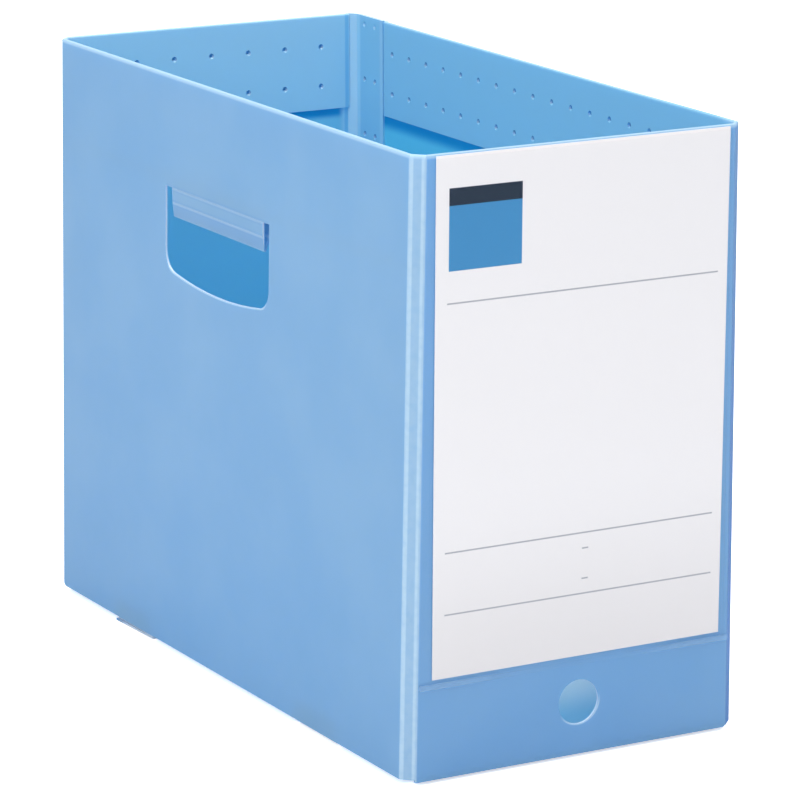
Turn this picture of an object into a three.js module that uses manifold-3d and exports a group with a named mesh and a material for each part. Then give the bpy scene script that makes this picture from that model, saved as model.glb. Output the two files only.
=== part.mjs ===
// Plastic file box for A4 papers, standing on its base, millimetres, +Z up.
// One polypropylene sheet is creased into four walls with bevelled corners. Its top edge turns in and
// down as a spot-welded band, one end laps inside the right wall as a weld flap, and its bottom flaps
// fold into a double floor. A clear pocket on the front wall holds the title card.
// The sheet is built with upright walls and then spread, as the box is a little wider at the floor.
// The origin is the centre of the base. The front, with the title card, faces -Y.

import * as THREE from 'three';
import { mergeGeometries, mergeVertices } from 'three/addons/utils/BufferGeometryUtils.js';
import Module from 'manifold-3d';

const wasm = await Module();
wasm.setup();

// Overall sizes of the folded box
const boxWidth = 153;
const boxDepth = 320;
const boxHeight = 256;
const floorSpread = 2.8;
const sheet = 0.9;
const pieceGap = 0.3;

// Corners: two creases with a narrow bevel between them, its foot clipped by these heights
const bevelLeg = 4.6;
const creaseGrooveRadius = 0.8;
const creaseGrooveDepth = 0.25;
const cornerClipHeights = { frontRight: 2.1, backRight: 2.1, backLeft: 3.6 };

// Turned-in band along the rim
const bandHeight = 44;
const rimFoldSteps = 6;

// Weld flap at the back right corner
const weldFlapWidth = 23.5;
const weldFlapBandGap = 1;

// Spot welds, pressed in from the inside
const weldRadius = 1.4;
const weldFloorRadius = 0.6;
const weldDepth = 0.7;
const weldSides = 8;
const weldRowsBelowRim = [14.5, 33];
const weldPitchLong = 15.4;
const weldCountLong = 17;
const weldPitchShort = 18.95;
const weldCountShort = 7;
const weldFlapColumns = [6.5, 16];
const weldFlapPitch = 25.65;
const weldFlapFirstBelowRim = 4;
const weldFlapCount = 10;

// Hand holes in the two long walls
const handHoleWidth = 94.2;
const handHoleHeight = 40;
const handHoleBelowRim = 48.5;
const handHoleCentreY = 5.5;
const handHoleCornerRadius = 8;
const handHoleBow = 5;
const handSlitWidth = 6;
const rootStripLength = 6.2;
const rootStripTilts = [2, 7];
const handFlapTilt = 22;
const handFlapEndGap = 1.2;
const handFlapHingeDrop = 0.5;
const handFoldRelief = 0.3;
const handCreaseDepth = 0.2;
const handCreaseRadius = 0.5;

// Finger hole low in the front wall
const fingerHoleRadius = 9.4;
const fingerHoleX = 1.8;
const fingerHoleZ = 23.6;

// Bottom flaps: the closure flap lies lowest, then the two short flaps, then the inner floor
const shortFlapLength = 55;
const shortFlapTaper = 5;
const shortFlapSideInset = 2;
const flapLayerGap = 0.2;
const floorEdgeGap = 1.2;
const closureEdgeInset = 9;
const closureCornerRadius = 7;
const tabWidth = 34;
const tabCentreY = 84;
const tabHeight = 8;
const tabWallGap = 0.6;
const tabSideGap = 2;
const slotDepth = 2.4;
const frontTabRise = 1.1;
const backTabOverhang = 1.3;
const tabNeckRun = 4;

// Clear pocket and title card on the front wall
const pocketFilm = 0.25;
const pocketSeamWidth = 1.8;
const pocketSideInset = 0.7;
const pocketBottomZ = 39.6;
const pocketTopInset = 1.8;
const cardSlack = 2.2;
const cardFootGap = 1.7;
const cardTopBelowRim = 0.8;
const cardThickness = 0.35;

const degrees = Math.PI / 180;
const halfWidth = boxWidth / 2;
const halfDepth = boxDepth / 2;
const handHoleTopZ = boxHeight - handHoleBelowRim;
const handFlapHalf = handHoleWidth / 2 - handSlitWidth;
const pocketHalfWidth = halfWidth - bevelLeg - pocketSideInset;
const shortFlapZ = sheet + pieceGap;
const floorPanelZ = shortFlapZ + sheet + flapLayerGap;

// Colours and finishes
const blueSheet = new THREE.MeshStandardMaterial({ color: 0x86b6e4, roughness: 0.48, metalness: 0 });
const clearFilm = new THREE.MeshStandardMaterial({
  color: 0xf4f8fb, roughness: 0.15, metalness: 0, transparent: true, opacity: 0.25,
});
const whiteCard = new THREE.MeshStandardMaterial({ color: 0xf0eff3, roughness: 0.85, metalness: 0 });

// A closed three.js geometry as a solid that can be joined and cut
function solid(geometry) {
  const bare = geometry.index ? geometry.toNonIndexed() : geometry.clone();
  bare.deleteAttribute('normal');
  bare.deleteAttribute('uv');
  const merged = mergeVertices(bare, 1e-5);
  return new wasm.Manifold(new wasm.Mesh({
    numProp: 3,
    vertProperties: new Float32Array(merged.attributes.position.array),
    triVerts: new Uint32Array(merged.index.array),
  }));
}

// How much wider the box is at this height than at its rim
function spreadAt(z) {
  return 1 + floorSpread / halfWidth * (boxHeight - z) / boxHeight;
}

function spread(manifold) {
  return manifold.warp((point) => {
    point[0] *= spreadAt(point[2]);
  });
}

function geometryOf(manifold) {
  const mesh = manifold.getMesh();
  const geometry = new THREE.BufferGeometry();
  geometry.setAttribute('position', new THREE.BufferAttribute(new Float32Array(mesh.vertProperties), 3));
  geometry.setIndex(new THREE.BufferAttribute(new Uint32Array(mesh.triVerts), 1));
  geometry.computeVertexNormals();
  return geometry;
}

function namedMesh(name, manifold, material) {
  const mesh = new THREE.Mesh(geometryOf(manifold), material);
  mesh.name = name;
  return mesh;
}

function block(low, high) {
  const size = high.map((value, axis) => value - low[axis]);
  const geometry = new THREE.BoxGeometry(...size);
  geometry.translate(low[0] + size[0] / 2, low[1] + size[1] / 2, low[2] + size[2] / 2);
  return solid(geometry);
}

// An outline pushed along its own normal, then turned so its two axes follow the given directions
function prism(outline, depth, across, up, from = 0) {
  const shape = outline instanceof THREE.Shape
    ? outline
    : new THREE.Shape(outline.map(([x, y]) => new THREE.Vector2(x, y)));
  const geometry = new THREE.ExtrudeGeometry(shape, { depth, bevelEnabled: false, curveSegments: 8 });
  geometry.translate(0, 0, from);
  const normal = new THREE.Vector3().crossVectors(across, up);
  geometry.applyMatrix4(new THREE.Matrix4().makeBasis(across, up, normal));
  return solid(geometry);
}

const axisX = new THREE.Vector3(1, 0, 0);
const axisY = new THREE.Vector3(0, 1, 0);
const axisZ = new THREE.Vector3(0, 0, 1);

// An (x, y) outline standing from z = low to z = high
function plate(outline, low, high) {
  return prism(outline, high - low, axisX, axisY, low);
}

// An (x, z) outline running from y = low to y = high
function bar(outline, low, high) {
  return prism(outline, high - low, axisX, axisZ, -high);
}

// A section of (distance in from the sheet's outer face, height) points swept along a plan path.
// The path is followed with the inside of the box on its left, and its corners are mitred.
function sweep(path, outline) {
  const drawn = outline.map(([inset, z]) => new THREE.Vector2(inset, z));
  const section = THREE.ShapeUtils.isClockWise(drawn) ? [...outline].reverse() : outline;
  const sideOf = (start, end) => new THREE.Vector2(start[1] - end[1], end[0] - start[0]).normalize();
  const positions = [];
  const indices = [];
  path.forEach((point, i) => {
    const before = sideOf(path[Math.max(i - 1, 0)], path[Math.max(i, 1)]);
    const after = sideOf(path[Math.min(i, path.length - 2)], path[Math.min(i + 1, path.length - 1)]);
    const mitre = before.clone().add(after).divideScalar(1 + before.dot(after));
    for (const [inset, z] of section) {
      positions.push(point[0] + mitre.x * inset, point[1] + mitre.y * inset, z);
    }
  });
  const count = section.length;
  for (let i = 0; i < path.length - 1; i += 1) {
    for (let j = 0; j < count; j += 1) {
      const a = i * count + j;
      const b = i * count + (j + 1) % count;
      indices.push(a, b, a + count, b, b + count, a + count);
    }
  }
  const last = (path.length - 1) * count;
  const contour = section.map(([inset, z]) => new THREE.Vector2(inset, z));
  for (const [a, b, c] of THREE.ShapeUtils.triangulateShape(contour, [])) {
    indices.push(a, c, b);
    indices.push(last + a, last + b, last + c);
  }
  const geometry = new THREE.BufferGeometry();
  geometry.setAttribute('position', new THREE.Float32BufferAttribute(positions, 3));
  geometry.setIndex(indices);
  return solid(geometry);
}

// Many small cutters of one shape as a single solid
function copies(geometry, matrices) {
  return solid(mergeGeometries(matrices.map((matrix) => geometry.clone().applyMatrix4(matrix))));
}

// Creases where the sheet's outer face turns a corner, in order round the box
const creases = {
  backRight: [halfWidth - bevelLeg, halfDepth],
  backLeft: [-halfWidth + bevelLeg, halfDepth],
  leftBack: [-halfWidth, halfDepth - bevelLeg],
  leftFront: [-halfWidth, -halfDepth + bevelLeg],
  frontLeft: [-halfWidth + bevelLeg, -halfDepth],
  frontRight: [halfWidth - bevelLeg, -halfDepth],
  rightFront: [halfWidth, -halfDepth + bevelLeg],
};
const seamY = halfDepth - bevelLeg;
const weldFlapEdgeY = seamY - weldFlapWidth;
const bandEndY = weldFlapEdgeY - weldFlapBandGap;

// Wall, folded rim and turned-in band as one section
function rimSection() {
  const section = [[0, 0], [sheet, 0]];
  const bandLowZ = boxHeight - bandHeight;
  section.push([sheet, bandLowZ], [2 * sheet, bandLowZ]);
  for (let step = 0; step <= rimFoldSteps; step += 1) {
    const angle = step / rimFoldSteps * Math.PI;
    section.push([sheet + sheet * Math.cos(angle), boxHeight - sheet + sheet * Math.sin(angle)]);
  }
  return section;
}

function weldDimples() {
  const dimple = new THREE.CylinderGeometry(weldRadius, weldFloorRadius, weldDepth, weldSides);
  dimple.translate(0, -weldDepth / 2, 0);
  const onWall = (x, y, z, inwardX, inwardY) => {
    const inward = new THREE.Vector3(inwardX, inwardY, 0);
    const matrix = new THREE.Matrix4().makeBasis(axisZ.clone().cross(inward).negate(), inward, axisZ);
    return matrix.setPosition(x, y, z);
  };
  const places = [];
  const bandFace = 2 * sheet;
  for (const below of weldRowsBelowRim) {
    const z = boxHeight - below;
    for (let i = 0; i < weldCountLong; i += 1) {
      const y = (i - (weldCountLong - 1) / 2) * weldPitchLong;
      places.push(onWall(-halfWidth + bandFace, y, z, 1, 0), onWall(halfWidth - bandFace, y, z, -1, 0));
    }
    for (let i = 0; i < weldCountShort; i += 1) {
      const x = (i - (weldCountShort - 1) / 2) * weldPitchShort;
      places.push(onWall(x, -halfDepth + bandFace, z, 0, 1), onWall(x, halfDepth - bandFace, z, 0, -1));
    }
  }
  for (const column of weldFlapColumns) {
    for (let i = 0; i < weldFlapCount; i += 1) {
      const z = boxHeight - weldFlapFirstBelowRim - i * weldFlapPitch;
      places.push(onWall(halfWidth - bandFace, seamY - column, z, -1, 0));
    }
  }
  return copies(dimple, places);
}

// Coined grooves down every corner crease
function cornerGrooves() {
  const groove = new THREE.CylinderGeometry(creaseGrooveRadius, creaseGrooveRadius, boxHeight, 8);
  groove.rotateX(90 * degrees);
  const standOff = creaseGrooveRadius - creaseGrooveDepth;
  const places = Object.values(creases).map(([x, y]) => {
    const turn = (Math.abs(x) === halfWidth ? 22.5 : 67.5) * degrees;
    const outX = Math.sign(x) * Math.cos(turn);
    const outY = Math.sign(y) * Math.sin(turn);
    const middleZ = boxHeight / 2 - sheet;
    return new THREE.Matrix4().makeTranslation(x + outX * standOff, y + outY * standOff, middleZ);
  });
  return copies(groove, places);
}

// Slanting cuts that clip the foot of a bevelled corner
function cornerClips() {
  const reach = 40;
  const clip = new THREE.BoxGeometry(reach, reach, reach);
  clip.translate(0, 0, -reach / 2);
  clip.rotateY(-45 * degrees);
  const sides = { frontRight: [1, -1], backRight: [1, 1], backLeft: [-1, 1] };
  const places = Object.entries(cornerClipHeights).map(([corner, height]) => {
    const [sideX, sideY] = sides[corner];
    const matrix = new THREE.Matrix4().makeRotationZ(Math.atan2(sideY, sideX));
    return matrix.setPosition(
      sideX * (halfWidth - bevelLeg / 2), sideY * (halfDepth - bevelLeg / 2), height);
  });
  return copies(clip, places);
}

// The hand hole's outline in (y, height), with rounded lower corners and a bowed lower edge
function handOutline(width, top, bottom, radius, bow) {
  const half = width / 2;
  const shape = new THREE.Shape();
  shape.moveTo(-half, top);
  shape.lineTo(-half, bottom + bow + radius);
  shape.quadraticCurveTo(-half, bottom + bow, -half + radius, bottom + bow * 0.6);
  shape.quadraticCurveTo(0, bottom - bow * 0.6, half - radius, bottom + bow * 0.6);
  shape.quadraticCurveTo(half, bottom + bow, half, bottom + bow + radius);
  shape.lineTo(half, top);
  shape.closePath();
  return shape;
}

// Where the root strips and the hand flap run, in (distance in from the wall's outer face, height)
function handFold() {
  const points = [new THREE.Vector2(sheet / 2, handHoleTopZ)];
  for (const tilt of rootStripTilts) {
    const step = new THREE.Vector2(Math.sin(tilt * degrees), -Math.cos(tilt * degrees));
    points.push(points[points.length - 1].clone().addScaledVector(step, rootStripLength));
  }
  const fold = points[points.length - 1];
  const lastTilt = rootStripTilts[rootStripTilts.length - 1] * degrees;
  const upStrip = new THREE.Vector2(-Math.sin(lastTilt), Math.cos(lastTilt));
  const upFlap = new THREE.Vector2(Math.sin(handFlapTilt * degrees), Math.cos(handFlapTilt * degrees));
  const split = upStrip.clone().add(upFlap).normalize();
  const axis = fold.clone().addScaledVector(split, -handFlapHingeDrop);
  return { points, fold, upStrip, upFlap, split, axis };
}

// A sheet ending in the mitre of a fold: the two faces of the sheet, cut along the fold's split line
function mitredEnd(fold, along, split, openSide) {
  const half = sheet / 2;
  const normal = new THREE.Vector2(along.y, -along.x).multiplyScalar(openSide);
  const cosine = along.dot(split);
  const run = half * cosine / Math.sqrt(1 - cosine * cosine);
  const gapShift = pieceGap / 2 / Math.sqrt(1 - cosine * cosine);
  const open = fold.clone().addScaledVector(normal, half).addScaledVector(along, run + gapShift);
  const closed = fold.clone().addScaledVector(normal, -half).addScaledVector(along, -handFoldRelief);
  const middle = fold.clone().addScaledVector(split, -handFlapHingeDrop).addScaledVector(along, gapShift);
  return { open, middle, closed, normal };
}

// The strip of left wall above the hand flap, bent in along its creases
function handRoot() {
  const { points, fold, upStrip, split } = handFold();
  const half = sheet / 2;
  const bend = points[1];
  const firstTilt = rootStripTilts[0] * degrees;
  const lastTilt = rootStripTilts[1] * degrees;
  const bendNormalAngle = (firstTilt + lastTilt) / 2;
  const reach = half / Math.cos((lastTilt - firstTilt) / 2);
  const bendInner = [bend.x + reach * Math.cos(bendNormalAngle), bend.y + reach * Math.sin(bendNormalAngle)];
  const bendOuter = [bend.x - reach * Math.cos(bendNormalAngle), bend.y - reach * Math.sin(bendNormalAngle)];
  const topInset = half * Math.tan(firstTilt / 2);
  const end = mitredEnd(fold, upStrip, split, 1);
  const outline = [
    [0, handHoleTopZ + 2],
    [0, handHoleTopZ - topInset],
    bendOuter,
    [end.closed.x, end.closed.y],
    [end.middle.x, end.middle.y],
    [end.open.x, end.open.y],
    bendInner,
    [sheet, handHoleTopZ + topInset],
    [sheet, handHoleTopZ + 2],
  ].map(([inset, z]) => [inset - halfWidth, z]);
  return bar(outline, handHoleCentreY - handFlapHalf, handHoleCentreY + handFlapHalf);
}

// Creases pressed across the top of the hand flap's root
function handCreases() {
  const { points } = handFold();
  const standOff = handCreaseRadius - handCreaseDepth + sheet / 2;
  const groove = new THREE.CylinderGeometry(handCreaseRadius, handCreaseRadius, 2 * handFlapHalf, 6);
  const places = points.slice(0, 2).map((point) => new THREE.Matrix4().makeTranslation(
    point.x - halfWidth - standOff, handHoleCentreY, point.y));
  return copies(groove, places);
}

function bottomFlaps() {
  const floorRightX = halfWidth - sheet - floorEdgeGap;
  const floorEndY = halfDepth - sheet - floorEdgeGap;
  const hingeEndY = halfDepth - bevelLeg - shortFlapSideInset;
  const cut = bevelLeg + shortFlapSideInset;
  const innerFloor = plate([
    [-halfWidth, -hingeEndY],
    [-halfWidth + cut, -hingeEndY],
    [-halfWidth + cut + 1, -floorEndY],
    [floorRightX - bevelLeg, -floorEndY],
    [floorRightX, -floorEndY + bevelLeg],
    [floorRightX, floorEndY - bevelLeg],
    [floorRightX - bevelLeg, floorEndY],
    [-halfWidth + cut + 1, floorEndY],
    [-halfWidth + cut, hingeEndY],
    [-halfWidth, hingeEndY],
  ], floorPanelZ, floorPanelZ + sheet);
  const rootX = halfWidth - bevelLeg - shortFlapSideInset;
  const tipX = rootX - shortFlapTaper;
  const shortFlap = (sideY) => plate([
    [-rootX, sideY * halfDepth],
    [rootX, sideY * halfDepth],
    [tipX, sideY * (halfDepth - shortFlapLength)],
    [-tipX, sideY * (halfDepth - shortFlapLength)],
  ], shortFlapZ, shortFlapZ + sheet);
  const slots = [-1, 1].map((sideY) => block(
    [-halfWidth + sheet, sideY * tabCentreY - tabWidth / 2 - tabSideGap, floorPanelZ - 1],
    [-halfWidth + sheet + slotDepth, sideY * tabCentreY + tabWidth / 2 + tabSideGap, floorPanelZ + sheet + 1],
  ));
  return innerFloor.subtract(slots[0]).subtract(slots[1]).add(shortFlap(-1)).add(shortFlap(1));
}

// The folded sheet: walls, rim, band, weld flap and the flaps that stay shut
function bodySleeve() {
  const rimPath = [
    creases.backRight, creases.backLeft, creases.leftBack, creases.leftFront,
    creases.frontLeft, creases.frontRight, creases.rightFront, [halfWidth, bandEndY],
  ];
  const plain = [[0, 0], [sheet, 0], [sheet, boxHeight], [0, boxHeight]];
  const seamWall = [[halfWidth, bandEndY - 1], [halfWidth, seamY]];
  const weldFlapPath = [
    [halfWidth - sheet, weldFlapEdgeY],
    [halfWidth - sheet, seamY + sheet],
    creases.backRight,
    [creases.backRight[0] - 1, halfDepth],
  ];
  let body = sweep(rimPath, rimSection()).add(sweep(seamWall, plain)).add(sweep(weldFlapPath, plain));
  body = body.subtract(weldDimples()).subtract(cornerGrooves()).subtract(cornerClips());

  const far = boxWidth + boxDepth;
  const footCuts = [
    block([-far, -far, -far], [-halfWidth + bevelLeg, far, floorPanelZ]),
    block([-far, -far, -far], [halfWidth - sheet, -halfDepth + bevelLeg, shortFlapZ]),
    block([-far, weldFlapEdgeY - pieceGap, -far], [halfWidth - sheet, far, shortFlapZ]),
  ];
  for (const cut of footCuts) body = body.subtract(cut);
  body = body.add(bottomFlaps());

  const outline = handOutline(
    handHoleWidth, handHoleTopZ, handHoleTopZ - handHoleHeight, handHoleCornerRadius, handHoleBow);
  const hole = prism(outline, 4 * sheet, axisY, axisZ, -2 * sheet);
  for (const side of [-1, 1]) {
    body = body.subtract(hole.translate([side * (halfWidth - sheet / 2), handHoleCentreY, 0]));
  }
  body = spread(body.add(handRoot()).subtract(handCreases()));

  const fingerHole = new THREE.CylinderGeometry(fingerHoleRadius, fingerHoleRadius, 4 * sheet, 48);
  fingerHole.translate(fingerHoleX, -halfDepth + sheet / 2, fingerHoleZ);
  return body.subtract(solid(fingerHole));
}

// The left hand flap, pushed in and folded up behind its wall
function foldedHandFlap() {
  const { fold, upFlap, split } = handFold();
  const half = sheet / 2;
  const length = handHoleHeight - rootStripTilts.length * rootStripLength - handFlapEndGap;
  const end = mitredEnd(fold, upFlap, split, -1);
  const tip = fold.clone().addScaledVector(upFlap, length);
  const outline = [
    [end.open.x, end.open.y],
    [end.middle.x, end.middle.y],
    [end.closed.x, end.closed.y],
    [tip.x - end.normal.x * half, tip.y - end.normal.y * half],
    [tip.x + end.normal.x * half, tip.y + end.normal.y * half],
  ].map(([inset, z]) => [inset - halfWidth, z]);
  const slab = bar(outline, handHoleCentreY - handFlapHalf, handHoleCentreY + handFlapHalf);
  const towardsFold = new THREE.Vector3(-upFlap.x, 0, -upFlap.y);
  const tongue = handOutline(2 * handFlapHalf, rootStripLength, -length, handHoleCornerRadius, handHoleBow);
  const turned = prism(tongue, 20, axisY, towardsFold, -10);
  return slab.intersect(turned.translate([fold.x - halfWidth, handHoleCentreY, fold.y]));
}

// The right hand flap, still closed in its wall
function closedHandFlap() {
  const length = handHoleHeight - handFlapEndGap;
  const outline = handOutline(
    2 * handFlapHalf, handHoleTopZ - pieceGap / 2, handHoleTopZ - length, handHoleCornerRadius, handHoleBow);
  return prism(outline, sheet, axisY, axisZ, halfWidth - sheet).translate([0, handHoleCentreY, 0]);
}

// The outer floor flap, hinged low on the right wall, with two tabs up through the inner floor's slots
function closureFlap() {
  const hingeX = halfWidth - sheet - pieceGap;
  const freeX = -halfWidth + closureEdgeInset;
  const endY = halfDepth - closureEdgeInset;
  const radius = closureCornerRadius;
  const shape = new THREE.Shape();
  shape.moveTo(hingeX, -endY + closureEdgeInset / 2);
  shape.lineTo(hingeX, endY - closureEdgeInset / 2);
  shape.lineTo(hingeX - closureEdgeInset, endY);
  shape.lineTo(freeX + radius, endY);
  shape.absarc(freeX + radius, endY - radius, radius, 90 * degrees, 180 * degrees, false);
  shape.lineTo(freeX, -endY + radius);
  shape.absarc(freeX + radius, -endY + radius, radius, 180 * degrees, 270 * degrees, false);
  shape.lineTo(hingeX - closureEdgeInset, -endY);
  shape.closePath();

  const tabOuterX = -halfWidth + sheet + tabWallGap;
  const tabInnerX = tabOuterX + sheet;
  const tabTopZ = floorPanelZ + sheet + tabHeight;
  const tab = (sideY, rise, overhang) => {
    const neckX = freeX + 1;
    const outline = [
      [neckX, 0],
      [freeX - tabNeckRun, rise],
      [tabOuterX - overhang, rise],
      [tabOuterX - overhang, rise + sheet],
      [tabOuterX, rise + sheet + 0.01],
      [tabOuterX, tabTopZ],
      [tabInnerX, tabTopZ],
      [tabInnerX, rise + sheet],
      [freeX - tabNeckRun, rise + sheet],
      [neckX, sheet],
    ];
    const low = sideY * tabCentreY - tabWidth / 2;
    return bar(outline, low, low + tabWidth);
  };
  // The back tab is not pushed quite home, so its root shows under the left wall and tapers away
  const skew = plate([
    [tabOuterX - backTabOverhang - 1, tabCentreY + tabWidth / 2 + 1],
    [tabOuterX - backTabOverhang - 1, tabCentreY - tabWidth / 2 - 1],
    [tabOuterX, tabCentreY - tabWidth / 2 - 1],
    [tabOuterX - backTabOverhang, tabCentreY + tabWidth / 2 + 1],
  ], -1, sheet + 1);
  return plate(shape, 0, sheet)
    .add(tab(-1, frontTabRise, 0.01))
    .add(tab(1, 0, backTabOverhang).subtract(skew));
}

// Clear film over the card, seamed to the wall along its sides and foot and open at the top
const pocketWallY = -halfDepth - pieceGap;

function labelPocket() {
  const topZ = boxHeight - pocketTopInset;
  const filmY = pocketWallY - cardThickness - pieceGap;
  const outerY = filmY - pocketFilm;
  const film = block([-pocketHalfWidth, outerY, pocketBottomZ], [pocketHalfWidth, filmY, topZ]);
  const footSeam = block(
    [-pocketHalfWidth, outerY, pocketBottomZ],
    [pocketHalfWidth, pocketWallY, pocketBottomZ + pocketSeamWidth]);
  const sideSeam = (side) => {
    const edges = [side * pocketHalfWidth, side * (pocketHalfWidth - pocketSeamWidth)].sort((a, b) => a - b);
    return block([edges[0], outerY, pocketBottomZ], [edges[1], pocketWallY, topZ]);
  };
  return film.add(footSeam).add(sideSeam(-1)).add(sideSeam(1));
}

// The card has slid against the pocket's right seam
function titleCard() {
  const rightX = pocketHalfWidth - pocketSeamWidth - pieceGap;
  const leftX = -pocketHalfWidth + pocketSeamWidth - pieceGap + cardSlack;
  const lowZ = pocketBottomZ + pocketSeamWidth + pieceGap + cardFootGap;
  return block(
    [leftX, pocketWallY - cardThickness, lowZ],
    [rightX, pocketWallY, boxHeight - cardTopBelowRim],
  );
}

const fileBox = new THREE.Group();
fileBox.name = 'file_box';
fileBox.add(namedMesh('body_sleeve', bodySleeve(), blueSheet));
fileBox.add(namedMesh('bottom_closure_flap', spread(closureFlap()), blueSheet));
fileBox.add(namedMesh('hand_flap_left', spread(foldedHandFlap()), blueSheet));
fileBox.add(namedMesh('hand_flap_right', spread(closedHandFlap()), blueSheet));
fileBox.add(namedMesh('label_pocket', spread(labelPocket()), clearFilm));
fileBox.add(namedMesh('label_card', titleCard(), whiteCard));

export default fileBox;
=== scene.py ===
import math

import bpy
from mathutils import Matrix, Vector

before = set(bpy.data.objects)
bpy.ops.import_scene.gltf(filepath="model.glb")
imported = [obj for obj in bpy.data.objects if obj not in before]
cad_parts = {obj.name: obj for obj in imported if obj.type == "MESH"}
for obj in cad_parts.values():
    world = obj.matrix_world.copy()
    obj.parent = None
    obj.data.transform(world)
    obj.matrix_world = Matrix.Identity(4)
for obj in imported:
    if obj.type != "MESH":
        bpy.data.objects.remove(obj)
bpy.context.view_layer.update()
MM = 0.001

# Sizes of the box that the finishes follow, in millimetres
BOX_WIDTH = 153
BOX_DEPTH = 320
BOX_HEIGHT = 256
SHEET = 0.9
BEVEL_LEG = 4.6
BAND_HEIGHT = 44
FLOOR_SPREAD = 2.8
HALF_WIDTH = BOX_WIDTH / 2
HALF_DEPTH = BOX_DEPTH / 2
BAND_EDGE = BOX_HEIGHT - BAND_HEIGHT
WELD_FLAP_EDGE = 131.9

# The left wall's hand hole: its middle along the wall, half length, heights and curved foot
HOLE_MIDDLE = 5.5
HOLE_HALF = 47.1
HOLE_TOP = 207.5
HOLE_LOW = 167.5
HOLE_FOOT_HALF = 39
HOLE_FOOT_CURVE = 510
HOLE_CORNER_RUN = 8
HOLE_CORNER_RISE = 9
ROOT_CREASE = 201.3
ROOT_FOLD = 195.1

# The front wall's finger hole
FINGER_HOLE_X = 1.8
FINGER_HOLE_Z = 23.6
FINGER_HOLE_RADIUS = 9.4


# Shader expressions
class Signal:
    """A node socket that can be used in sums, products and the like."""

    tree = None

    def __init__(self, socket):
        self.socket = socket

    @classmethod
    def node(cls, kind, settings=None, inputs=None, out=0):
        made = cls.tree.nodes.new(kind)
        for name, value in (settings or {}).items():
            setattr(made, name, value)
        for key, value in (inputs or {}).items():
            socket = made.inputs[key]
            if isinstance(value, Signal):
                cls.tree.links.new(value.socket, socket)
            else:
                socket.default_value = value
        return Signal(made.outputs[out])

    def math(self, operation, *others):
        values = {0: self, **{i + 1: other for i, other in enumerate(others)}}
        return Signal.node("ShaderNodeMath", {"operation": operation}, values)

    def __add__(self, other):
        return self.math("ADD", other)

    __radd__ = __add__

    def __mul__(self, other):
        return self.math("MULTIPLY", other)

    __rmul__ = __mul__

    def __sub__(self, other):
        return self.math("SUBTRACT", other)

    def __rsub__(self, other):
        return Signal.node("ShaderNodeMath", {"operation": "SUBTRACT"}, {0: other, 1: self})

    def __truediv__(self, other):
        return self.math("DIVIDE", other)

    def __abs__(self):
        return self.math("ABSOLUTE")

    def least(self, other):
        return self.math("MINIMUM", other)

    def most(self, other):
        return self.math("MAXIMUM", other)

    def step(self, low, high):
        """0 below low, 1 above high and smooth between them; low may be the higher of the two."""
        flip = low > high
        low, high = sorted((low, high))
        ramp = Signal.node(
            "ShaderNodeMapRange",
            {"interpolation_type": "SMOOTHSTEP"},
            {"Value": self, "From Min": low, "From Max": high},
        )
        return 1 - ramp if flip else ramp

    def within(self, low, high, soft):
        """1 between low and high, fading to 0 over the soft width outside them."""
        return self.step(low - soft, low + soft) * self.step(high + soft, high - soft)


def mix(mask, first, second):
    settings = {"data_type": "RGBA", "clamp_factor": True}
    return Signal.node("ShaderNodeMix", settings, {0: mask, 6: first, 7: second}, out=2)


def split(vector):
    return [Signal.node("ShaderNodeSeparateXYZ", {}, {0: vector}, out=i) for i in range(3)]


def object_place():
    """Where a point of the surface lies, in millimetres."""
    place = Signal.node("ShaderNodeTexCoord", out="Object")
    return Signal.node("ShaderNodeVectorMath", {"operation": "SCALE"}, {0: place, "Scale": 1 / MM})


def upright(x, z):
    """The place across the box as it would be if the walls stood upright."""
    return x / (1 + (BOX_HEIGHT - z) * (FLOOR_SPREAD / HALF_WIDTH / BOX_HEIGHT))


def noise(place, size, detail=2.0, roughness=0.5):
    """Smooth noise whose lumps are about size millimetres across."""
    inputs = {"Vector": place, "Scale": 1 / size, "Detail": detail, "Roughness": roughness}
    return Signal.node("ShaderNodeTexNoise", {}, inputs, out="Fac")


def bump(height, distance, strength=1.0, normal=None):
    inputs = {"Height": height, "Distance": distance * MM, "Strength": strength}
    if normal is not None:
        inputs["Normal"] = normal
    return Signal.node("ShaderNodeBump", {}, inputs, out="Normal")


def rgb(red, green, blue):
    """A colour written as it looks, 0 to 255 a channel, as a linear one."""
    def linear(value):
        value /= 255
        return value / 12.92 if value <= 0.04045 else ((value + 0.055) / 1.055) ** 2.4
    return (linear(red), linear(green), linear(blue), 1.0)


def new_material(name):
    material = bpy.data.materials.new(name)
    material.use_nodes = True
    Signal.tree = material.node_tree
    shader = next(n for n in Signal.tree.nodes if n.type == "BSDF_PRINCIPLED")
    return material, shader


def feed(shader, **inputs):
    for name, value in inputs.items():
        socket = shader.inputs[name.replace("_", " ")]
        if isinstance(value, Signal):
            Signal.tree.links.new(value.socket, socket)
        else:
            socket.default_value = value


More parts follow.
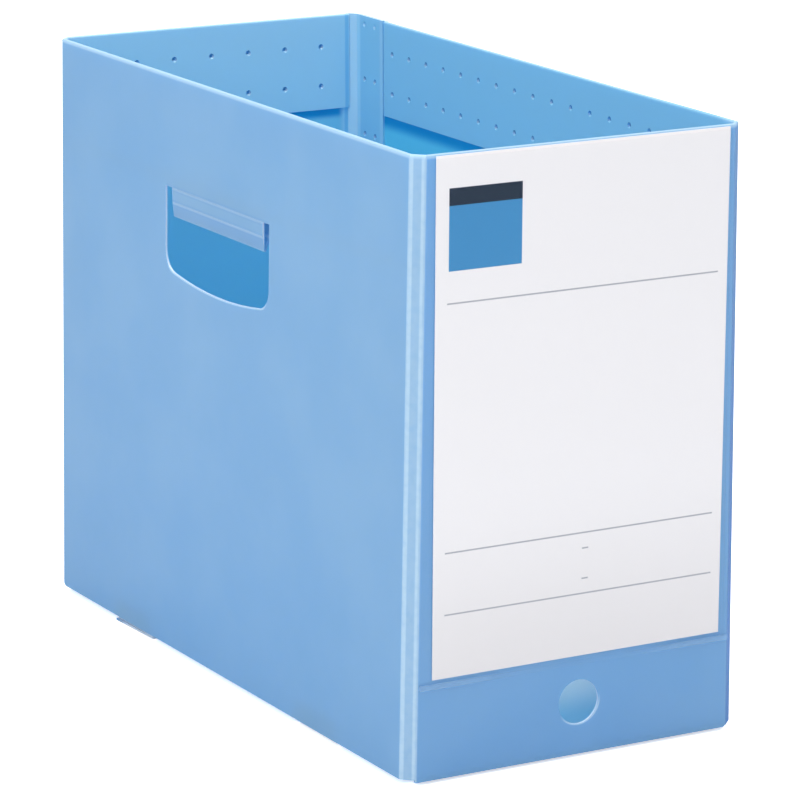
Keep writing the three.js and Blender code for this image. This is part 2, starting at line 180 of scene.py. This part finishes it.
# Finishes
SHEET_BLUE = rgb(144, 191, 218)
# Deeper blue of the sheet's uneven tone, also used as painted shade low on the outer walls
SHEET_BLUE_DEEP_AND_LOW_SHADE = rgb(122, 178, 214)
# Painted light: a brighter blue for the front face of the same sheet
FRONT_FACE_PAINTED_LIGHT = rgb(136, 196, 244)
# Painted shade on the right front bevel
RIGHT_BEVEL_PAINTED_SHADE = rgb(40, 130, 202)
# Painted shade in the hand hole's root creases and along the foot of the outer walls
CREASE_PAINTED_SHADE = rgb(84, 150, 204)
# Painted shade in the inner back right corner
CORNER_PAINTED_SHADE = rgb(120, 205, 240)
# Painted light: lighter blues inside the box stand in for light shining through the sheet, with the right
# wall's darker as shaded copies
BAND_INSIDE_PAINTED_LIGHT = rgb(194, 246, 255)
RIGHT_BAND_PAINTED_LIGHT = rgb(162, 222, 238)
BACK_INSIDE_PAINTED_LIGHT = rgb(150, 232, 246)
RIGHT_INSIDE_PAINTED_LIGHT = rgb(116, 226, 244)
BAND_SHADOW = rgb(0, 144, 196)
FLOOR_INSIDE_PAINTED_LIGHT = rgb(232, 255, 255)
# Painted shadow of the front wall on the inner floor
FLOOR_PAINTED_SHADOW = rgb(150, 214, 238)
SHEET_GLOW = rgb(44, 182, 232)
GLOW_SHARE = 0.42
# Whitening of the creased corners, also used as painted highlight on the front left facet
SHEET_WHITENED_AND_HIGHLIGHT = rgb(196, 224, 232)
# Whitening of creases, folds and lips, also used as painted highlight on the front left crease lines and
# the near rims
CREASE_WHITE_AND_HIGHLIGHT = rgb(218, 246, 250)
# Pale cut edges, also used as painted light on the closure tab's root
CUT_EDGE_AND_PAINTED_LIGHT = rgb(240, 252, 255)
# Painted shade in the spot weld hollows
WELD_PAINTED_SHADE = rgb(10, 62, 120)


def sheet_grain(place):
    """Slow waves of the extruded sheet and its fine satin grain, as one normal."""
    waves = noise(place, 60, detail=1.0)
    grain = noise(place, 0.35, detail=2.0, roughness=0.6)
    return bump(grain, 0.012, 0.6, bump(waves, 0.5, 0.35))


def crease_distances(x, y):
    """How far a point lies from the front left corner's creases, and from any corner's."""
    def distance(dx, dy):
        return (dx * dx + dy * dy).math("SQRT")
    side_y, front_x = HALF_DEPTH - BEVEL_LEG, HALF_WIDTH - BEVEL_LEG
    left = distance(x + HALF_WIDTH, y + side_y)
    front = distance(x + front_x, y + HALF_DEPTH)
    side = distance(abs(x) - HALF_WIDTH, abs(y) - side_y)
    end = distance(abs(x) - front_x, abs(y) - HALF_DEPTH)
    return left.least(front), side.least(end)


def outside_colors(place, x, y, z, facing, slanting):
    """The blue of the outer faces, whitened at the front left corner and across the hand hole's root,
    with painted light and shade: deeper low down, brighter on the front face, darker on the right bevel,
    in the root creases and along the foot, and a painted highlight at the front left corner.
    """
    cloud = noise(place, 45, detail=3.0).step(0.3, 0.7)
    # Painted shade: the outer walls turn deeper blue towards the bottom; the cloud is the sheet's own
    # uneven tone
    low = z.step(190, 10) * 0.5
    color = mix((cloud * 0.4 + low), SHEET_BLUE, SHEET_BLUE_DEEP_AND_LOW_SHADE)
    # Painted light on the front face, stronger towards its top
    front_face = (0 - facing[1]).step(0.8, 0.95)
    color = mix(front_face * (0.3 + z.step(60, 200) * 0.3), color, FRONT_FACE_PAINTED_LIGHT)
    # Painted shade on the right front bevel, darker towards its foot
    right_bevel = slanting * x.step(0, 10) * y.step(0, -10)
    color = mix(right_bevel * z.step(380, 60), color, RIGHT_BEVEL_PAINTED_SHADE)
    front_left, any_corner = crease_distances(x, y)
    streak = noise(place, 3, detail=2.0).step(0.2, 0.7) * 0.3 + 0.7
    # Crease whitening, faint at every corner, plus painted highlight on the front left facet and its
    # crease lines
    facet = slanting * x.step(0, -10) * y.step(0, -10)
    color = mix(facet.most(any_corner.step(1.1, 0.5) * 0.3) * streak * 0.6, color, SHEET_WHITENED_AND_HIGHLIGHT)
    lines = (facet * front_left.step(1.9, 1.3)).most(front_left.step(0.6, 0.2) * 0.5)
    color = mix(lines * streak * 0.75, color, CREASE_WHITE_AND_HIGHLIGHT)
    root_half = HOLE_HALF - 1
    root = x.step(-70, -72) * y.within(HOLE_MIDDLE - root_half, HOLE_MIDDLE + root_half, 0.5)
    # Painted shade on the tilted root strip of the hand hole
    color = mix(root * z.within(ROOT_FOLD, ROOT_CREASE - 1, 0.6) * 0.3, color, CREASE_PAINTED_SHADE)
    # Painted shade beside each root crease, then its whitened line
    for height in (HOLE_TOP, ROOT_CREASE):
        color = mix(root * z.within(height - 1.6, height + 1.0, 0.3) * 0.25, color, CREASE_PAINTED_SHADE)
        color = mix(root * z.within(height - 1.0, height + 0.2, 0.3) * 0.3, color, CREASE_WHITE_AND_HIGHLIGHT)
    # Painted shade along the foot of the outer walls, where they meet the floor
    color = mix(z.step(1.2, 0.5) * 0.6, color, CREASE_PAINTED_SHADE)
    return mix(hole_lips(x, y, z), color, CREASE_WHITE_AND_HIGHLIGHT)


def hole_lips(x, y, z):
    """1 on the whitened lip under the hand hole of the left wall and at the finger hole's lower right."""
    dy = abs(y - HOLE_MIDDLE)
    corner = (dy - HOLE_FOOT_HALF).most(0) / HOLE_CORNER_RUN
    rise = corner * corner * corner * corner * HOLE_CORNER_RISE
    edge = HOLE_LOW + dy * dy / HOLE_FOOT_CURVE + rise
    hand = (edge - z).within(-0.5, 0.6, 0.2) * dy.step(HOLE_HALF + 0.6, HOLE_HALF) * x.step(-70, -72)
    dx, dz = x - FINGER_HOLE_X, z - FINGER_HOLE_Z
    from_middle = (dx * dx + dz * dz).math("SQRT")
    ring = from_middle.within(FINGER_HOLE_RADIUS - 0.2, FINGER_HOLE_RADIUS + 0.6, 0.2)
    lower_right = (dx * 0.4 - dz).step(1, 7)
    return (hand * 0.7).most(ring * lower_right * y.step(-150, -155) * 0.8)


def inside_colors(x, y, z, facing):
    """Painted light inside the box: lighter blues on the band, the weld flap and the floor stand in for
    light shining through the sheet, with painted shade below the band, in the back corner, on the floor
    near the front wall and in the spot welds.
    """
    right_side = x.step(66, 70)
    right_wall = right_side * y.step(154, 152)
    weld_flap = right_side * y.step(WELD_FLAP_EDGE - 0.3, WELD_FLAP_EDGE + 0.3)
    # Painted light on the walls below the band, darker on the right wall, with a painted shadow under the
    # band's edge
    low_blue = mix(right_wall, BACK_INSIDE_PAINTED_LIGHT, RIGHT_INSIDE_PAINTED_LIGHT)
    back_shade = z.step(BAND_EDGE - 5.5, BAND_EDGE - 2.2)
    right_shade = z.step(BAND_EDGE - 8, BAND_EDGE - 2.5) * right_wall
    low_blue = mix(back_shade.most(right_shade), low_blue, BAND_SHADOW)
    band = z.step(BAND_EDGE - 0.3, BAND_EDGE).most(weld_flap)
    # Painted light on the band, darker on the right wall
    walls = mix(band, low_blue, mix(right_wall, BAND_INSIDE_PAINTED_LIGHT, RIGHT_BAND_PAINTED_LIGHT))
    # Painted shade along the crease of the inner back right corner
    back_corner = y.step(156, 157) * x.within(69.6, 71.4, 0.4)
    walls = mix(back_corner * 0.65, walls, CORNER_PAINTED_SHADE)
    walls = mix(weld_flap * y.step(135.5, 134) * 0.3, walls, CREASE_WHITE_AND_HIGHLIGHT)
    # Painted light on the inner floor, with painted shadow near the front wall
    floor = mix(y.step(-125, -80), FLOOR_PAINTED_SHADOW, FLOOR_INSIDE_PAINTED_LIGHT)
    lining = mix(facing[2].step(0.6, 0.9), walls, floor)
    # Painted shade on the side faces of the spot weld hollows, not on their upward faces
    lit = facing[2].step(0.25, 0.5)
    weld_shade = weld_mask(x, y, z, facing, weld_flap) * (1 - lit)
    return mix(weld_shade * z.step(BOX_HEIGHT - 5, BOX_HEIGHT - 7) * 0.85, lining, WELD_PAINTED_SHADE)


def weld_mask(x, y, z, facing, weld_flap):
    """1 in the spot welds, which lie deeper than the band's and the weld flap's faces."""
    def pressed(across, half, face):
        depth = across.within(half - 2 * SHEET + 0.07, half - SHEET - 0.02, 0.05)
        return depth * abs(face).step(0.3, 0.5)
    side = pressed(abs(x), HALF_WIDTH, facing[0]) * abs(y).step(153, 151)
    end = pressed(abs(y), HALF_DEPTH, facing[1]) * abs(x).step(69, 67)
    rows = z.within(BAND_EDGE + 2, BOX_HEIGHT - 6, 0.5).most(weld_flap * z.step(6, 8))
    return side.most(end) * rows


def cut_edges(across, along, z, facing):
    """1 on the cut edges of the sheet, at the holes."""
    def cut(place, half, face):
        thickness = place.within(half - SHEET + 0.05, half - 0.05, 0.04)
        return thickness * abs(face).step(0.6, 0.4)
    side = cut(across, HALF_WIDTH, facing[0]) * along.step(154, 153)
    front = cut(along, HALF_DEPTH, facing[1]) * across.step(71, 70)
    return side.most(front) * z.within(5, BOX_HEIGHT - 5, 1)


def folded_sheet_finish():
    """Blue satin plastic sheet, whitened where it is creased and pale along its cut edges, with painted
    light and shade inside and out and a painted highlight along the near rims.
    """
    material, shader = new_material("blue_sheet_finish")
    place = object_place()
    spread_x, y, z = split(place)
    x = upright(spread_x, z)
    facing = split(Signal.node("ShaderNodeNewGeometry", out="True Normal"))
    across, along = abs(x), abs(y)
    corner = HALF_WIDTH + HALF_DEPTH - BEVEL_LEG
    inside = across.step(HALF_WIDTH - 0.2, HALF_WIDTH - 0.7)
    inside = inside * along.step(HALF_DEPTH - 0.2, HALF_DEPTH - 0.7)
    inside = inside * (across + along).step(corner - 0.3, corner - 1.0)
    # Painted light on the closure tab's root low inside the left wall
    tab_root_painted_light = inside * z.step(1.8, 1.3) * x.step(-66, -70)
    inward = (x * facing[0]).step(16, 6) * (y * facing[1]).step(32, 12)
    inside = inside * inward * z.step(1.3, 1.8)
    slanting = (abs(facing[0]) * abs(facing[1])).step(0.25, 0.4)
    lining = mix(slanting * 0.4, inside_colors(x, y, z, facing), CREASE_WHITE_AND_HIGHLIGHT)
    color = mix(inside, outside_colors(place, x, y, z, facing, slanting), lining)
    color = mix(cut_edges(across, along, z, facing).most(tab_root_painted_light), color, CUT_EDGE_AND_PAINTED_LIGHT)
    # Whitened fold along the rim all round, with painted highlight on the near left and front rims
    lit_near_walls = x.step(-60, -74).most(y.step(-140, -158))
    rim_whitening_and_highlight = z.step(BOX_HEIGHT - 2.1, BOX_HEIGHT - 1.0) * (lit_near_walls * 0.6 + 0.1)
    color = mix(rim_whitening_and_highlight, color, CREASE_WHITE_AND_HIGHLIGHT)
    rough = noise(place, 8, detail=3.0) * 0.1 + 0.36
    feed(shader, Base_Color=color, Roughness=rough, IOR=1.5, Specular_IOR_Level=0.8,
         Normal=sheet_grain(place))
    let_light_through(shader, SHEET_GLOW, GLOW_SHARE)
    return material


def let_light_through(shader, color, share):
    """Mixes in the part of the light that shines through the sheet."""
    glow = Signal.node("ShaderNodeBsdfTranslucent", {}, {"Color": color})
    both = Signal.node("ShaderNodeMixShader", {}, {0: share, 1: Signal(shader.outputs["BSDF"]), 2: glow})
    output = next(n for n in Signal.tree.nodes if n.type == "OUTPUT_MATERIAL")
    Signal.tree.links.new(both.socket, output.inputs["Surface"])


def clear_film_finish():
    """Thin clear film that only its gloss shows, with a faint wave along its foot."""
    material, shader = new_material("clear_film_finish")
    place = object_place()
    x, y, z = split(place)
    foot = z.step(42.4, 41.2) * abs(x).step(20, 62) * 0.28
    feed(shader, Base_Color=rgb(150, 190, 225), Roughness=0.14, IOR=1.45, Specular_IOR_Level=0.2,
         Alpha=foot + 0.03, Normal=bump(noise(place, 25, detail=1.0), 0.3, 0.4))
    return material


# Title card print: rules as (left, right, height) and dashes as (middle, height), in millimetres
CARD_WHITE = rgb(239, 236, 237)
CARD_WHITE_FIBRE = rgb(234, 231, 233)
CARD_WHITE_FOOT = rgb(214, 209, 209)
RULE_GREY = rgb(158, 160, 168)
FIELD_BLUE = rgb(58, 134, 188)
HEADER_DARK = rgb(6, 14, 34)
RULES = [(-62.2, 64.6, 196.2), (-62.2, 64.6, 95.1), (-62.2, 64.6, 69.6)]
RULE_HALF = 0.32
DASHES = [(3.4, 88.6), (3.4, 75.9)]
DASH_HALF = 1.5
FIELD_LEFT, FIELD_RIGHT = -61.6, -28.3
FIELD_LOW, FIELD_HIGH = 209.1, 242.1
HEADER_HEIGHT = 7


def title_card_finish():
    """Matt white card with thin rules and an index field, a little darker towards its foot."""
    material, shader = new_material("title_card_finish")
    place = object_place()
    x, y, z = split(place)
    fibre = noise(place, 0.6, detail=4.0, roughness=0.65)
    paper = mix(fibre.step(0.3, 0.8), CARD_WHITE, CARD_WHITE_FIBRE)
    paper = mix(z.step(120, 40) * 0.5, paper, CARD_WHITE_FOOT)
    lines = None
    for left, right, height in RULES:
        line = x.within(left, right, 0.08) * z.within(height - RULE_HALF, height + RULE_HALF, 0.06)
        lines = line if lines is None else lines.most(line)
    for centre, height in DASHES:
        dash = x.within(centre - DASH_HALF, centre + DASH_HALF, 0.08)
        lines = lines.most(dash * z.within(height - RULE_HALF, height + RULE_HALF, 0.06))
    color = mix(lines * 0.9, paper, RULE_GREY)
    wide = x.within(FIELD_LEFT, FIELD_RIGHT, 0.06)
    field = wide * z.within(FIELD_LOW, FIELD_HIGH, 0.06)
    header = wide * z.within(FIELD_HIGH - HEADER_HEIGHT, FIELD_HIGH, 0.06)
    color = mix(field, color, FIELD_BLUE)
    color = mix(header, color, HEADER_DARK)
    feed(shader, Base_Color=color, Roughness=0.75, Specular_IOR_Level=0.2, Normal=bump(fibre, 0.02, 0.5))
    return material


def assign(node, material):
    mesh = node.data
    mesh.materials.clear()
    mesh.materials.append(material)


def dress_nodes():
    sheet = folded_sheet_finish()
    for name in ("body_sleeve", "bottom_closure_flap", "hand_flap_left", "hand_flap_right"):
        assign(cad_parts[name], sheet)
    assign(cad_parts["label_pocket"], clear_film_finish())
    assign(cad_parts["label_card"], title_card_finish())


# Camera, fitted to the photograph
CAMERA_PLACE = Vector((-890.7, -1564.5, 567.7)) * MM
CAMERA_AZIMUTH = math.radians(-29.911)
CAMERA_ELEVATION = math.radians(14.119)
CAMERA_ROLL = math.radians(0.356)
CAMERA_LENS = 193.11


def add_camera():
    az, el, roll = CAMERA_AZIMUTH, CAMERA_ELEVATION, CAMERA_ROLL
    ahead = Vector((-math.sin(az) * math.cos(el), math.cos(az) * math.cos(el), -math.sin(el)))
    level = Vector((math.cos(az), math.sin(az), 0))
    upward = level.cross(ahead)
    right = level * math.cos(roll) + upward * math.sin(roll)
    up = upward * math.cos(roll) - level * math.sin(roll)
    data = bpy.data.cameras.new("photo_camera")
    data.lens = CAMERA_LENS
    data.sensor_width = 36
    data.clip_end = 50
    camera = bpy.data.objects.new("photo_camera", data)
    turn = Matrix((right, up, -ahead)).transposed().to_4x4()
    camera.matrix_world = Matrix.Translation(CAMERA_PLACE) @ turn
    bpy.context.scene.collection.objects.link(camera)
    bpy.context.scene.camera = camera


def add_lamp(name, place, size, power):
    data = bpy.data.lights.new(name, "AREA")
    data.shape = "DISK"
    data.size = size
    data.energy = power
    lamp = bpy.data.objects.new(name, data)
    lamp.location = place
    lamp.rotation_euler = (Vector(LAMP_TARGET) - Vector(place)).to_track_quat("-Z", "Y").to_euler()
    bpy.context.scene.collection.objects.link(lamp)


# Studio, in metres and watts
FLOOR_REACH = 6
FLOOR_HEIGHT = -0.0002
LAMP_TARGET = (0, 0, 0.12)
LAMPS = [
    ("key_lamp", (-1.9, -0.8, 1.4), 1.6, 25),
    ("fill_lamp", (-0.2, -2.3, 1.3), 1.6, 4),
    ("top_lamp", (0.1, 0.1, 2.0), 1.8, 44),
]


def add_studio():
    for name, place, size, power in LAMPS:
        add_lamp(name, place, size, power)

    world = bpy.data.worlds.new("studio_world")
    world.use_nodes = True
    bpy.context.scene.world = world
    Signal.tree = world.node_tree
    background = next(n for n in Signal.tree.nodes if n.type == "BACKGROUND")
    path = Signal.tree.nodes.new("ShaderNodeLightPath")
    seen = Signal(path.outputs["Is Camera Ray"])
    for ray in ("Is Glossy Ray", "Is Transmission Ray"):
        seen = seen.most(Signal(path.outputs[ray]))
    background.inputs["Color"].default_value = (1, 1, 1, 1)
    Signal.tree.links.new((seen * 0.5 + 0.5).socket, background.inputs["Strength"])

    add_floor()


def add_floor():
    """A white floor just under the box that keeps its soft shadow."""
    mesh = bpy.data.meshes.new("studio_floor")
    corners = [(-1, -1), (1, -1), (1, 1), (-1, 1)]
    points = [(x * FLOOR_REACH, y * FLOOR_REACH, FLOOR_HEIGHT) for x, y in corners]
    mesh.from_pydata(points, [], [(0, 1, 2, 3)])
    floor = bpy.data.objects.new("studio_floor", mesh)
    bpy.context.scene.collection.objects.link(floor)
    material, shader = new_material("studio_floor_finish")
    path = Signal.tree.nodes.new("ShaderNodeLightPath")
    seen = Signal(path.outputs["Is Camera Ray"])
    feed(shader, Base_Color=(0.9, 0.9, 0.9, 1), Roughness=0.9, Specular_IOR_Level=0,
         Emission_Color=(1, 1, 1, 1), Emission_Strength=seen * 0.6)
    mesh.materials.append(material)


bpy.context.scene.view_settings.view_transform = "Standard"
add_camera()
add_studio()
dress_nodes()
